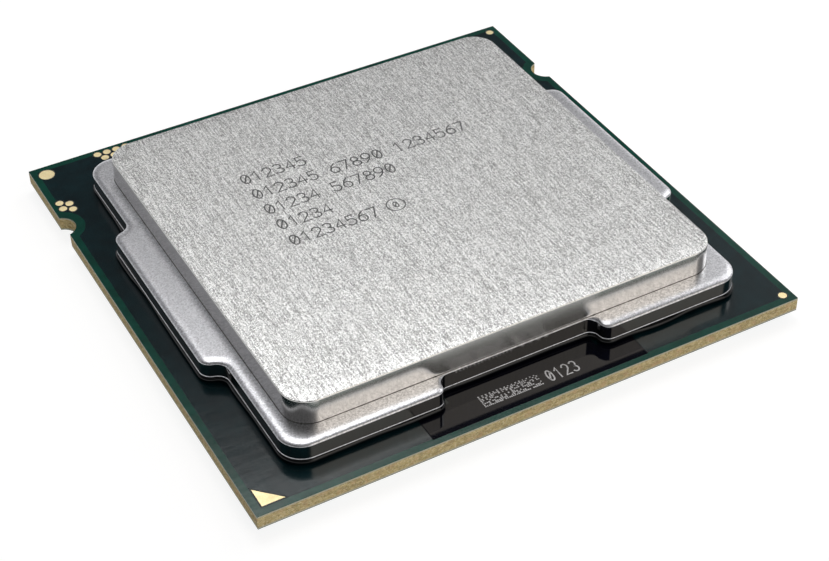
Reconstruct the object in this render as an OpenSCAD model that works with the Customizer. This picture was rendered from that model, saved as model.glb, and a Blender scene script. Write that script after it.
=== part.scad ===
// Land-grid processor package: a laminate substrate with a flip-chip die,
// a nickel-plated copper heat spreader glued over it, and ceramic
// capacitors and contact lands on the underside.
// Units are millimetres. +Z is up, and the origin is at the middle of the
// package on the plane that the underside capacitors rest on.

/* [Substrate] */
// Side of the square substrate
substrate_side = 37.5; // [37:0.1:46]
// Thickness of the glass-epoxy core
core_t = 0.72; // [0.4:0.02:1.2]
// Thickness of the resin build-up on each face of the core
buildup_t = 0.1; // [0.04:0.01:0.3]
// Thickness of the outer copper planes
copper_t = 0.02; // [0.01:0.005:0.05]
// Solder mask over the copper planes
mask_t = 0.02; // [0.01:0.005:0.05]
// Bare strip between a copper plane and the substrate's edge
copper_margin = 0.48; // [0.3:0.01:0.7]
// Radius of the two key notches
notch_r = 1.08; // [0.8:0.01:1.3]
// How far each key notch reaches in from the edge
notch_depth = 0.75; // [0.4:0.01:0.9]
// Distance of the notches from the package's middle, towards the back
notch_y = 11.62; // [9:0.01:12.5]
// Bare strip between a copper plane and the notch
notch_margin = 0.62; // [0.3:0.01:0.7]

/* [Top pads] */
// Diameter of the big alignment disc in the back left corner
big_fiducial_d = 1.1; // [0.8:0.01:1.2]
// Diameter of the small alignment discs in the right corners
small_fiducial_d = 0.57; // [0.4:0.01:0.8]
// Distance of the big disc's centre from the two edges
big_fiducial_inset = 0.98; // [0.9:0.01:1.5]
// Distance of the small discs' centres from the two edges
small_fiducial_inset = 0.68; // [0.6:0.01:1.2]
// Diameter of the test pads
test_pad_d = 0.56; // [0.4:0.01:0.6]
// Distance between neighbouring test pads in a row
test_pad_pitch = 0.7; // [0.68:0.01:0.8]
// Distance between the two rows of test pads
test_row_gap = 0.58; // [0.5:0.01:0.8]
// First pad of the left group, from the middle towards the back
left_group_y = 14.2; // [13.9:0.01:14.5]
// Distance of the left group's outer column from the edge
left_group_inset = 0.6; // [0.5:0.01:0.8]
// First pad of the back group, from the middle towards the left
back_group_x = 13.85; // [13:0.01:14.5]
// Distance of the back group's outer row from the edge
back_group_inset = 0.52; // [0.5:0.01:0.8]
// Pads in the outer row of the back group
back_group_count = 4; // [2:1:8]
// Leg of the pin-one triangle
pin_one_leg = 1.5; // [1:0.01:2]
// Distance of the triangle's square corner from the two edges
pin_one_inset = 0.6; // [0.4:0.01:1]
// Ring of bare resin between a pad and the mask around it
pad_ring = 0.05; // [0.02:0.01:0.1]
// Mask over the copper's edge around each opening
ring_overlap = 0.08; // [0.04:0.01:0.12]
// How far the pads lie below the mask's surface
pad_recess = 0.005; // [0.002:0.001:0.008]

/* [Ink patch] */
// Width of the ink patch in front of the heat spreader
ink_w = 15; // [8:0.1:20]
// Distance of the ink patch from the substrate's front edge
ink_inset = 0.4; // [0.2:0.01:0.8]
// Thickness of the ink
ink_t = 0.01; // [0.005:0.001:0.02]

/* [Heat spreader] */
// Heat spreader's centre to the right of the package's middle
lid_shift_x = 0.19; // [-0.3:0.01:0.3]
// Heat spreader's centre behind the package's middle
lid_shift_y = -0.59; // [-0.6:0.01:0.6]
// Flange width without the ears
flange_w = 31.6; // [31:0.1:32]
// Flange depth from front to back
flange_d = 31.9; // [31:0.1:32.4]
// Corner radius of the flange
flange_r = 1.6; // [1:0.05:2.5]
// Thickness of the flange
flange_t = 1.14; // [0.8:0.01:1.5]
// Width over the two side ears
ear_w = 34.14; // [33.2:0.01:35]
// Length of each ear's straight side
ear_len = 13.1; // [8:0.1:14]
// Length of each ear where it joins the flange
ear_root = 16.4; // [15.5:0.1:18]
// Ears' centre behind the heat spreader's centre
ear_shift = 0.5; // [-0.5:0.01:0.5]
// Depth of the shallow recess in the middle of the front and back sides
recess_depth = 1.27; // [0.6:0.01:1.3]
// Width of each recess at its bottom
recess_in_w = 9.7; // [6:0.1:10]
// Width of each recess at its mouth
recess_out_w = 12.3; // [12:0.1:16]
// Width of the raised plateau
plateau_w = 29.56; // [28:0.01:30]
// Depth of the raised plateau
plateau_d = 29.15; // [28:0.01:29.2]
// Height of the plateau above the flange
plateau_h = 1.73; // [1:0.01:2.5]
// Corner radius of the plateau
plateau_r = 1.75; // [1:0.05:3]
// Rounding of the plateau's top edge
plateau_edge_r = 0.2; // [0.05:0.01:0.5]
// Side of the square cavity over the die
cavity_side = 24.4; // [22.5:0.1:25]
// Corner radius of the cavity
cavity_r = 2; // [0.5:0.1:4]

/* [Sealant] */
// Height of the black sealant bead under the flange
sealant_t = 0.4; // [0.1:0.01:0.6]
// Bead's outer side, in from the flange's edge
sealant_inset = 0.25; // [0.1:0.01:0.5]
// Bead's inner side, out from the cavity
sealant_lip = 0.3; // [0.1:0.01:0.6]
// Width of the vent gap left in the bead at the back
vent_w = 3; // [1:0.1:6]

/* [Die] */
// Length of the silicon die
die_l = 20.4; // [12:0.1:21]
// Width of the silicon die
die_w = 10.4; // [8:0.1:14]
// Thickness of the silicon die
die_t = 0.72; // [0.5:0.01:0.8]
// Height of the solder bumps under the die
bump_h = 0.07; // [0.05:0.01:0.12]
// Diameter of the solder bumps
bump_d = 0.24; // [0.1:0.01:0.4]
// Columns of solder bumps
bump_columns = 16; // [4:1:20]
// Rows of solder bumps
bump_rows = 8; // [3:1:10]
// Strip of die without bumps around its edge
bump_edge = 0.7; // [0.4:0.05:1.5]
// Thickness of the solder between the die and the heat spreader
thermal_t = 0.25; // [0.1:0.01:0.5]
// How far the thermal solder spreads past the die
thermal_spread = 0.5; // [0:0.05:0.7]
// How far the underfill spreads past the die
underfill_spread = 0.9; // [0.4:0.05:1]
// How far the underfill climbs the die's sides
underfill_climb = 0.4; // [0.2:0.01:0.45]
// Gap between the underfill and the window in the solder mask
window_gap = 0.25; // [0.1:0.01:0.6]

/* [Lands] */
// Distance between neighbouring lands
land_pitch = 0.9144; // [0.75:0.0001:0.93]
// Lands along each side of the full grid
land_count = 40; // [36:2:40]
// Empty columns in the middle of the grid
void_columns = 24; // [20:2:26]
// Empty rows in the middle of the grid
void_rows = 16; // [14:2:20]
// Width of a land
land_w = 0.5; // [0.3:0.01:0.6]
// Length of a land
land_l = 0.64; // [0.61:0.01:0.75]
// Thickness of a land on the mask
land_t = 0.015; // [0.01:0.001:0.03]
// Lands left out along each side of a plain corner
corner_cut = 4; // [1:1:6]
// Lands left out along each side of the pin-one corner
pin_one_cut = 5; // [1:1:8]
// Lands left out in the row behind the empty middle
row_gap = 12; // [0:2:20]
// Space kept between a land and a key notch
notch_space = 0.1; // [0.05:0.01:0.3]

/* [Large capacitors] */
// Length of a large capacitor
large_l = 1.6; // [1.2:0.05:2]
// Width of a large capacitor
large_w = 0.8; // [0.5:0.05:1.2]
// Height of a large capacitor
large_h = 0.5; // [0.38:0.01:0.6]
// Columns of large capacitors
large_columns = 8; // [2:1:10]
// Distance between the columns of large capacitors
large_pitch = 2.3; // [1.5:0.05:2.35]
// Distance of the large rows from the middle
large_row_y = 4.3; // [3.2:0.05:5.2]

/* [Small capacitors] */
// Length of a small capacitor
small_l = 1; // [0.8:0.05:1.2]
// Width of a small capacitor
small_w = 0.5; // [0.3:0.05:0.7]
// Height of a small capacitor
small_h = 0.35; // [0.25:0.01:0.36]
// Columns of small capacitors
small_columns = 9; // [2:1:11]
// Distance between the columns of small capacitors
small_pitch = 2; // [1.2:0.05:2]
// Distance of the small rows from the middle
small_row_y = 1.3; // [1:0.05:1.6]

/* [Capacitor ends] */
// Length of a capacitor covered by each metal end
terminal_wrap = 0.26; // [0.1:0.01:0.35]
// Thickness of the metal ends
terminal_t = 0.02; // [0.01:0.005:0.04]
// Length of the solder fillet past each metal end
fillet_reach = 0.18; // [0.1:0.01:0.3]
// Height of the solder fillet
fillet_h = 0.2; // [0.1:0.01:0.24]
// Thickness of the copper pads under the capacitors
cap_pad_t = 0.02; // [0.01:0.005:0.04]
// Solder between a pad and the capacitor
joint_t = 0.02; // [0.01:0.005:0.04]
// How far each pad shows around its capacitor's end
cap_pad_edge = 0.06; // [0.02:0.01:0.12]

/* [Hidden] */

// Segments in each arc of the flange's outline
arc_steps = 8;
// Facets of a round in previews
$fn = 48;
// Cutters run this far past the faces they cut
cut = 0.5;
// Thickness of the underfill at its foot and at its brim
underfill_skin = 0.01;

// Levels, from the plane the capacitors rest on
mask_under_z = cap_pad_t + joint_t + large_h;
buildup_bottom_z = mask_under_z + mask_t + copper_t;
core_z = buildup_bottom_z + buildup_t;
buildup_top_z = core_z + core_t;
copper_top_z = buildup_top_z + buildup_t;
mask_top_z = copper_top_z + copper_t + mask_t;
lid_z = mask_top_z + sealant_t;
flange_top_z = lid_z + flange_t;
die_z = copper_top_z + bump_h;
thermal_z = die_z + die_t;
cavity_top_z = thermal_z + thermal_t;

// Places
half = substrate_side / 2;
notch_x = half - notch_depth + notch_r;
plane_side = substrate_side - 2 * copper_margin;
window_l = die_l + 2 * (underfill_spread + window_gap);
window_w = die_w + 2 * (underfill_spread + window_gap);
big_fiducial = [-half + big_fiducial_inset, half - big_fiducial_inset];
small_fiducials = [for (side = [-1, 1])
    [half - small_fiducial_inset, side * (half - small_fiducial_inset)]];
left_outer = [-half + left_group_inset, left_group_y];
left_pads = [for (row = [0, 1]) for (i = [0, 1])
    left_outer + [row * test_row_gap, -(i + row / 2) * test_pad_pitch]];
back_outer = [-back_group_x, half - back_group_inset];
back_pads = [for (row = [0, 1]) for (i = [0 : back_group_count - 1 - row])
    back_outer + [(i + row / 2) * test_pad_pitch, -row * test_row_gap]];
pin_one_corner = [-half + pin_one_inset, -half + pin_one_inset];
large_places = grid_places(large_columns, large_pitch, large_row_y);
small_places = grid_places(small_columns, small_pitch, small_row_y);

// Two rows of places, one on each side of the middle
function grid_places(columns, pitch, row_y) =
    [for (side = [-1, 1]) for (i = [0 : columns - 1]) [(i - (columns - 1) / 2) * pitch, side * row_y]];

// Points along an arc from one angle to another
function arc_points(centre, r, from, to) =
    [for (i = [0 : arc_steps]) let (a = from + (to - from) * i / arc_steps) centre + r * [cos(a), sin(a)]];

// Points along an S-shaped blend of two equal arcs. It leaves p and reaches q
// along the same axis: 0 for X, 1 for Y.
function s_blend(p, q, axis) =
    let (
        run = abs(q[axis] - p[axis]),
        step = abs(q[1 - axis] - p[1 - axis]),
        r = (run * run + step * step) / (4 * step),
        sweep = 2 * atan(step / run),
        along = sign(q[axis] - p[axis]),
        across = sign(q[1 - axis] - p[1 - axis]),
        first = [for (i = [0 : arc_steps]) let (a = sweep * i / arc_steps) [r * sin(a), r * (1 - cos(a))]],
        last = [for (i = [arc_steps - 1 : -1 : 0]) let (a = sweep * i / arc_steps)
            [run - r * sin(a), step - r * (1 - cos(a))]]
    )
    [for (m = concat(first, last))
        p + (axis == 0 ? [along * m[0], across * m[1]] : [across * m[1], along * m[0]])];

// Right half of the flange's outline, from the front recess to the back one
function flange_half(inset) =
    let (
        x = flange_w / 2 - inset,
        y = flange_d / 2 - inset,
        ear_x = ear_w / 2 - inset,
        recess_y = y - recess_depth,
        r = flange_r - inset
    )
    concat(
        s_blend([recess_in_w / 2, -recess_y], [recess_out_w / 2, -y], 0),
        arc_points([x - r, r - y], r, -90, 0),
        s_blend([x, ear_shift - ear_root / 2], [ear_x, ear_shift - ear_len / 2], 1),
        s_blend([ear_x, ear_shift + ear_len / 2], [x, ear_shift + ear_root / 2], 1),
        arc_points([x - r, y - r], r, 0, 90),
        s_blend([recess_out_w / 2, y], [recess_in_w / 2, recess_y], 0)
    );

// The flange's outline, drawn in from its edge by inset
module flange_outline(inset = 0) {
    right = flange_half(inset);
    left = [for (i = [len(right) - 1 : -1 : 0]) [-right[i][0], right[i][1]]];
    translate([lid_shift_x, lid_shift_y]) polygon(concat(right, left));
}

// A rectangle with round corners, about the middle
module rounded_rectangle(w, d, r) {
    square([w - 2 * r, d], center = true);
    square([w, d - 2 * r], center = true);
    for (x = [-1, 1]) for (y = [-1, 1]) translate([x * (w / 2 - r), y * (d / 2 - r)]) circle(r);
}

// A box about the middle in plan, standing on z = 0
module centred_box(x, y, h) {
    translate([-x / 2, -y / 2, 0]) cube([x, y, h]);
}

// Section through the rim of a plate: r wide, h high, its outer top edge rounded
module rim_section(r, h, edge) {
    square([r, h - edge]);
    square([r - edge, h]);
    translate([r - edge, h - edge]) circle(edge);
}

// A plate with round corners and a rounded top edge, standing on z = 0
module rounded_plate(w, d, h, r, edge) {
    run_x = w - 2 * r;
    run_y = d - 2 * r;
    translate([-run_x / 2, -run_y / 2, 0]) cube([run_x, run_y, h]);
    for (side = [0, 180]) {
        rotate(side) translate([run_x / 2, run_y / 2, 0])
            rotate([90, 0, 0]) linear_extrude(run_y) rim_section(r, h, edge);
        rotate(side) translate([-run_x / 2, run_y / 2, 0])
            rotate([90, 0, 90]) linear_extrude(run_x) rim_section(r, h, edge);
    }
    for (x = [0, 1]) for (y = [0, 1]) mirror([x, 0, 0]) mirror([0, y, 0])
        translate([run_x / 2, run_y / 2, 0]) rotate_extrude(angle = 90) rim_section(r, h, edge);
}

// A square about the middle, with the two key notches cut at radius r
module notched_square(side, r) {
    difference() {
        square(side, center = true);
        for (x = [-1, 1]) translate([x * notch_x, notch_y]) circle(r);
    }
}

// The pin-one triangle, grown by a margin on every side
module pin_one_triangle(margin = 0) {
    leg = pin_one_leg + margin * (2 + sqrt(2));
    translate(pin_one_corner - [margin, margin]) polygon([[0, 0], [leg, 0], [0, leg]]);
}

// Every opening in the top mask, grown by a margin on every side
module top_openings(margin) {
    translate(big_fiducial) circle(big_fiducial_d / 2 + margin);
    for (p = small_fiducials) translate(p) circle(small_fiducial_d / 2 + margin);
    for (p = concat(left_pads, back_pads)) translate(p) circle(test_pad_d / 2 + margin);
    pin_one_triangle(margin);
    square([window_l + 2 * margin, window_w + 2 * margin], center = true);
}

module copper_outline() {
    notched_square(plane_side, notch_r + notch_margin);
}

// The top copper plane in plan, which the mask covers
module top_plane_outline() {
    difference() {
        copper_outline();
        top_openings(pad_ring + ring_overlap);
    }
}

module layer(z, t) {
    translate([0, 0, z]) linear_extrude(t) notched_square(substrate_side, notch_r);
}

module substrate_core() {
    color([0.66, 0.6, 0.4]) layer(core_z, core_t);
}

module buildup_top() {
    color([0.2, 0.2, 0.17]) layer(buildup_top_z, buildup_t);
}

module buildup_bottom() {
    color([0.2, 0.2, 0.17]) layer(buildup_bottom_z, buildup_t);
}

module copper_plane_top() {
    color([0.72, 0.42, 0.25]) translate([0, 0, copper_top_z])
        linear_extrude(copper_t) top_plane_outline();
}

module copper_plane_bottom() {
    color([0.72, 0.42, 0.25]) translate([0, 0, mask_under_z + mask_t])
        linear_extrude(copper_t) copper_outline();
}

module solder_mask_top() {
    color([0.08, 0.18, 0.19]) difference() {
        layer(copper_top_z, copper_t + mask_t);
        translate([0, 0, copper_top_z - cut]) linear_extrude(copper_t + cut) top_plane_outline();
        translate([0, 0, copper_top_z - cut])
            linear_extrude(copper_t + mask_t + 2 * cut) top_openings(pad_ring);
    }
}

module solder_mask_bottom() {
    color([0.02, 0.27, 0.21]) difference() {
        layer(mask_under_z, mask_t + copper_t);
        translate([0, 0, mask_under_z + mask_t]) linear_extrude(copper_t + cut) copper_outline();
    }
}

// A flat gold pad in an opening of the top mask
module gold_pad() {
    color([0.93, 0.83, 0.55]) translate([0, 0, copper_top_z])
        linear_extrude(copper_t + mask_t - pad_recess) children();
}

module pin_one_marker() {
    gold_pad() pin_one_triangle();
}

module fiducials() {
    gold_pad() {
        translate(big_fiducial) circle(big_fiducial_d / 2);
        for (p = small_fiducials) translate(p) circle(small_fiducial_d / 2);
    }
}

module test_pads_left() {
    gold_pad() for (p = left_pads) translate(p) circle(test_pad_d / 2);
}

module test_pads_back() {
    gold_pad() for (p = back_pads) translate(p) circle(test_pad_d / 2);
}

// Ink on the mask, up to the sealant bead under the heat spreader
module ink_patch() {
    ink_d = half - ink_inset - window_w / 2;
    color([0.1, 0.09, 0.13]) translate([0, 0, mask_top_z]) linear_extrude(ink_t) difference() {
        translate([lid_shift_x - ink_w / 2, -half + ink_inset]) square([ink_w, ink_d]);
        flange_outline(sealant_inset);
    }
}

module heat_spreader() {
    color([0.78, 0.78, 0.77]) difference() {
        union() {
            translate([0, 0, lid_z]) linear_extrude(flange_t) flange_outline();
            translate([lid_shift_x, lid_shift_y, lid_z])
                rounded_plate(plateau_w, plateau_d, flange_t + plateau_h, plateau_r, plateau_edge_r);
        }
        translate([lid_shift_x, lid_shift_y, lid_z - cut])
            linear_extrude(cavity_top_z - lid_z + cut) rounded_rectangle(cavity_side, cavity_side, cavity_r);
    }
}

module lid_sealant() {
    inner = cavity_side + 2 * sealant_lip;
    color([0.05, 0.05, 0.05]) translate([0, 0, mask_top_z]) linear_extrude(sealant_t) difference() {
        flange_outline(sealant_inset);
        translate([lid_shift_x, lid_shift_y]) rounded_rectangle(inner, inner, cavity_r + sealant_lip);
        translate([lid_shift_x - vent_w / 2, lid_shift_y]) square([vent_w, flange_d]);
    }
}

module silicon_die() {
    color([0.35, 0.36, 0.4]) translate([0, 0, die_z]) centred_box(die_l, die_w, die_t);
}

// A cylinder at each bump's place, from z up to z + h
module bumps(z, h) {
    step_x = (die_l - 2 * bump_edge) / (bump_columns - 1);
    step_y = (die_w - 2 * bump_edge) / (bump_rows - 1);
    for (i = [0 : bump_columns - 1]) for (j = [0 : bump_rows - 1])
        translate([i * step_x + bump_edge - die_l / 2, j * step_y + bump_edge - die_w / 2, z])
            cylinder(h = h, d = bump_d);
}

module solder_bumps() {
    color([0.75, 0.75, 0.77]) bumps(copper_top_z, bump_h);
}

module underfill() {
    foot = 2 * underfill_spread;
    brim = 4 * underfill_skin;
    color([0.3, 0.26, 0.2]) difference() {
        hull() {
            translate([0, 0, copper_top_z]) centred_box(die_l + foot, die_w + foot, underfill_skin);
            translate([0, 0, die_z + underfill_climb - underfill_skin])
                centred_box(die_l + brim, die_w + brim, underfill_skin);
        }
        translate([0, 0, die_z]) centred_box(die_l, die_w, die_t);
        bumps(copper_top_z - cut, bump_h + 2 * cut);
    }
}

module thermal_solder() {
    color([0.8, 0.8, 0.82]) translate([0, 0, thermal_z])
        centred_box(die_l + 2 * thermal_spread, die_w + 2 * thermal_spread, thermal_t);
}

// Whether the grid has a land at column i and row j, counted from the
// pin-one corner. The middle, the corners, one short row and the places
// beside the key notches stay empty.
function in_void(i, j) =
    abs(i - (land_count - 1) / 2) < void_columns / 2 && abs(j - (land_count - 1) / 2) < void_rows / 2;
function in_row_gap(i, j) =
    j == (land_count + void_rows) / 2 && abs(i - (land_count - 1) / 2) < row_gap / 2;
function corner_steps(i, j) = min(i, land_count - 1 - i) + min(j, land_count - 1 - j);
function in_corner(i, j) =
    corner_steps(i, j) < (i < land_count / 2 && j < land_count / 2 ? pin_one_cut : corner_cut);
function land_xy(i, j) = [i - (land_count - 1) / 2, j - (land_count - 1) / 2] * land_pitch;
function by_notch(p) =
    norm([notch_x, notch_y] - [abs(p[0]), p[1]]) < notch_r + notch_space + land_l / 2;
function has_land(i, j) =
    !in_void(i, j) && !in_row_gap(i, j) && !in_corner(i, j) && !by_notch(land_xy(i, j));

// The lands of one rectangle of the grid
module lands(columns, rows) {
    color([0.9, 0.78, 0.45]) translate([0, 0, mask_under_z - land_t]) linear_extrude(land_t)
        for (i = columns) for (j = rows) if (has_land(i, j)) translate(land_xy(i, j)) land_shape();
}

// A land in plan: a slot shape with full round ends
module land_shape() {
    reach = (land_l - land_w) / 2;
    square([land_w, 2 * reach], center = true);
    for (y = [-1, 1]) translate([0, y * reach]) circle(land_w / 2);
}

band_rows = (land_count - void_rows) / 2;
all_columns = [0 : land_count - 1];
middle_rows = [band_rows : land_count - 1 - band_rows];

module lands_front() {
    lands(all_columns, [0 : band_rows - 1]);
}

module lands_back() {
    lands(all_columns, [land_count - band_rows : land_count - 1]);
}

module lands_left() {
    lands([0 : land_count / 2 - 1], middle_rows);
}

module lands_right() {
    lands([land_count / 2 : land_count - 1], middle_rows);
}

// Copies of a shape at each place, hung under the mask by z
module hung_at(places, z) {
    for (p = places) translate([p[0], p[1], mask_under_z - z]) mirror([0, 0, 1]) children();
}

// A copy at each end of a capacitor of length l, which lies along Y
module at_both_ends(l) {
    for (side = [0, 180]) rotate(side) translate([0, l / 2, 0]) children();
}

// The ceramic block, smaller than the finished capacitor by its metal ends
module ceramic(l, w, h) {
    translate([0, 0, terminal_t]) centred_box(w - 2 * terminal_t, l - 2 * terminal_t, h - 2 * terminal_t);
}

// The two metal caps over the ceramic's ends
module metal_ends(l, w, h) {
    difference() {
        at_both_ends(l) translate([-w / 2, -terminal_wrap, 0]) cube([w, terminal_wrap, h]);
        ceramic(l, w, h);
    }
}

// Solder under each metal end and in a sloped fillet past it
module solder_joints(l, w) {
    at_both_ends(l) translate([-w / 2, 0, 0]) rotate([90, 0, 90]) linear_extrude(w) polygon([
        [-terminal_wrap, 0],
        [fillet_reach, 0],
        [0, joint_t + fillet_h],
        [0, joint_t],
        [-terminal_wrap, joint_t]
    ]);
}

module cap_pads(l, w) {
    run = terminal_wrap + fillet_reach + 2 * cap_pad_edge;
    at_both_ends(l) translate([0, fillet_reach + cap_pad_edge - run / 2, 0])
        centred_box(w + 2 * cap_pad_edge, run, cap_pad_t);
}

module large_capacitor_bodies() {
    color([0.55, 0.43, 0.32]) hung_at(large_places, cap_pad_t + joint_t)
        ceramic(large_l, large_w, large_h);
}

module large_capacitor_ends() {
    color([0.8, 0.8, 0.8]) hung_at(large_places, cap_pad_t + joint_t)
        metal_ends(large_l, large_w, large_h);
}

module large_capacitor_solder() {
    color([0.7, 0.71, 0.73]) hung_at(large_places, cap_pad_t) solder_joints(large_l, large_w);
}

module large_capacitor_pads() {
    color([0.9, 0.78, 0.45]) hung_at(large_places, 0) cap_pads(large_l, large_w);
}

module small_capacitor_bodies() {
    color([0.5, 0.4, 0.3]) hung_at(small_places, cap_pad_t + joint_t)
        ceramic(small_l, small_w, small_h);
}

module small_capacitor_ends() {
    color([0.8, 0.8, 0.8]) hung_at(small_places, cap_pad_t + joint_t)
        metal_ends(small_l, small_w, small_h);
}

module small_capacitor_solder() {
    color([0.7, 0.71, 0.73]) hung_at(small_places, cap_pad_t) solder_joints(small_l, small_w);
}

module small_capacitor_pads() {
    color([0.9, 0.78, 0.45]) hung_at(small_places, 0) cap_pads(small_l, small_w);
}

substrate_core();
buildup_top();
buildup_bottom();
copper_plane_top();
copper_plane_bottom();
solder_mask_top();
solder_mask_bottom();
pin_one_marker();
fiducials();
test_pads_left();
test_pads_back();
ink_patch();
heat_spreader();
lid_sealant();
silicon_die();
solder_bumps();
underfill();
thermal_solder();
lands_front();
lands_back();
lands_left();
lands_right();
large_capacitor_bodies();
large_capacitor_ends();
large_capacitor_solder();
large_capacitor_pads();
small_capacitor_bodies();
small_capacitor_ends();
small_capacitor_solder();
small_capacitor_pads();
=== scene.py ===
"""Looks of a land-grid processor package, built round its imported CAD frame.

Metres, in the CAD's own frame: +Z up, the package's middle on the Z axis, the
underside capacitors resting on z = 0. +Y points to the side with the notches.
"""

import math
import random

import bmesh
import bpy
from mathutils import Matrix, Vector, noise


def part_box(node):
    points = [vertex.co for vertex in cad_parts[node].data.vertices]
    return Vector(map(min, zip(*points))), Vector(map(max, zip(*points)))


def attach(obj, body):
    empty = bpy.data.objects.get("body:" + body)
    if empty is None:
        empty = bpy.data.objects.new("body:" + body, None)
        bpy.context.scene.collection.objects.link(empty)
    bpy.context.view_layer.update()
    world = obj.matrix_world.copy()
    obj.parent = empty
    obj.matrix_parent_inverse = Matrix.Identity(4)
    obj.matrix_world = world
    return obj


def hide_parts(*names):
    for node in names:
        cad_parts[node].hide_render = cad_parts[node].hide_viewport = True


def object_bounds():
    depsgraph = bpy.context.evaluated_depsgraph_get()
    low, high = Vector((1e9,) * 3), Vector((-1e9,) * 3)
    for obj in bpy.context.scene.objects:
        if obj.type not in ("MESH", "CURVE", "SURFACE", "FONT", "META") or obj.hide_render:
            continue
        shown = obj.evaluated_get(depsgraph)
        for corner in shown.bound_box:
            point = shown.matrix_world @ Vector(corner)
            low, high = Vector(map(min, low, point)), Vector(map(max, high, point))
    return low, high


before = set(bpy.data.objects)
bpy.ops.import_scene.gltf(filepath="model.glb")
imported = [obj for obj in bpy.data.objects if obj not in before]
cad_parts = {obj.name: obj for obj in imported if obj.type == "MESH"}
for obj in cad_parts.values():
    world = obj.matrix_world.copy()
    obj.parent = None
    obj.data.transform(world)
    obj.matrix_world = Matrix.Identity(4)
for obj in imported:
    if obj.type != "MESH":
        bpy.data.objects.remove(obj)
cad_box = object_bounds()

MM = 0.001

# ---------------------------------------------------------------- the frame

BOARD_LO, BOARD_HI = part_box("substrate_core")
MASK_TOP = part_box("solder_mask_top")[1].z
MASK_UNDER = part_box("solder_mask_bottom")[0].z
LID_LO, LID_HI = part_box("heat_spreader")
PLANE_LO, PLANE_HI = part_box("copper_plane_top")
INK_LO, INK_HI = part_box("ink_patch")
LID_CENTRE = (LID_LO + LID_HI) / 2

# Sizes of the heat spreader that its box doesn't give
FLANGE_W = 31.6 * MM
FLANGE_T = 1.14 * MM
FLANGE_R = 1.6 * MM
EAR_LEN = 13.1 * MM
EAR_ROOT = 16.4 * MM
EAR_SHIFT = 0.5 * MM
RECESS_DEPTH = 1.27 * MM
RECESS_IN_W = 9.7 * MM
RECESS_OUT_W = 12.3 * MM
PLATEAU_W = 29.56 * MM
PLATEAU_D = 29.15 * MM
PLATEAU_R = 1.75 * MM
CAVITY_SIDE = 24.4 * MM
CAVITY_R = 2 * MM
CAVITY_DEPTH = 0.6 * MM
FLANGE_TOP = LID_LO.z + FLANGE_T

# The key notches, and the copper's edge round them
NOTCH_R = 1.08 * MM
NOTCH_DEPTH = 0.75 * MM
NOTCH_Y = 11.62 * MM
NOTCH_MARGIN = 0.62 * MM


# ---------------------------------------------------------------- camera

def aim_camera():
    """The view's own camera: it circles a point on the board's top."""
    target = Vector((-1.27 * MM, -5.13 * MM, MASK_TOP))
    distance = 115.8 * MM
    azimuth, elevation, roll = (math.radians(a) for a in (-27.89, 39.62, 1.47))
    back = Vector((
        math.sin(azimuth) * math.cos(elevation),
        -math.cos(azimuth) * math.cos(elevation),
        math.sin(elevation),
    ))
    data = bpy.data.cameras.new("camera")
    data.sensor_width = 36
    data.lens = 78.58
    data.clip_start = 0.005
    data.clip_end = 20
    camera = bpy.data.objects.new("camera", data)
    turn = (-back).to_track_quat("-Z", "Y").to_matrix() @ Matrix.Rotation(-roll, 3, "Z")
    camera.matrix_world = Matrix.Translation(target + back * distance) @ turn.to_4x4()
    bpy.context.scene.collection.objects.link(camera)
    bpy.context.scene.camera = camera


aim_camera()


# ---------------------------------------------------------------- material nodes

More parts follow.
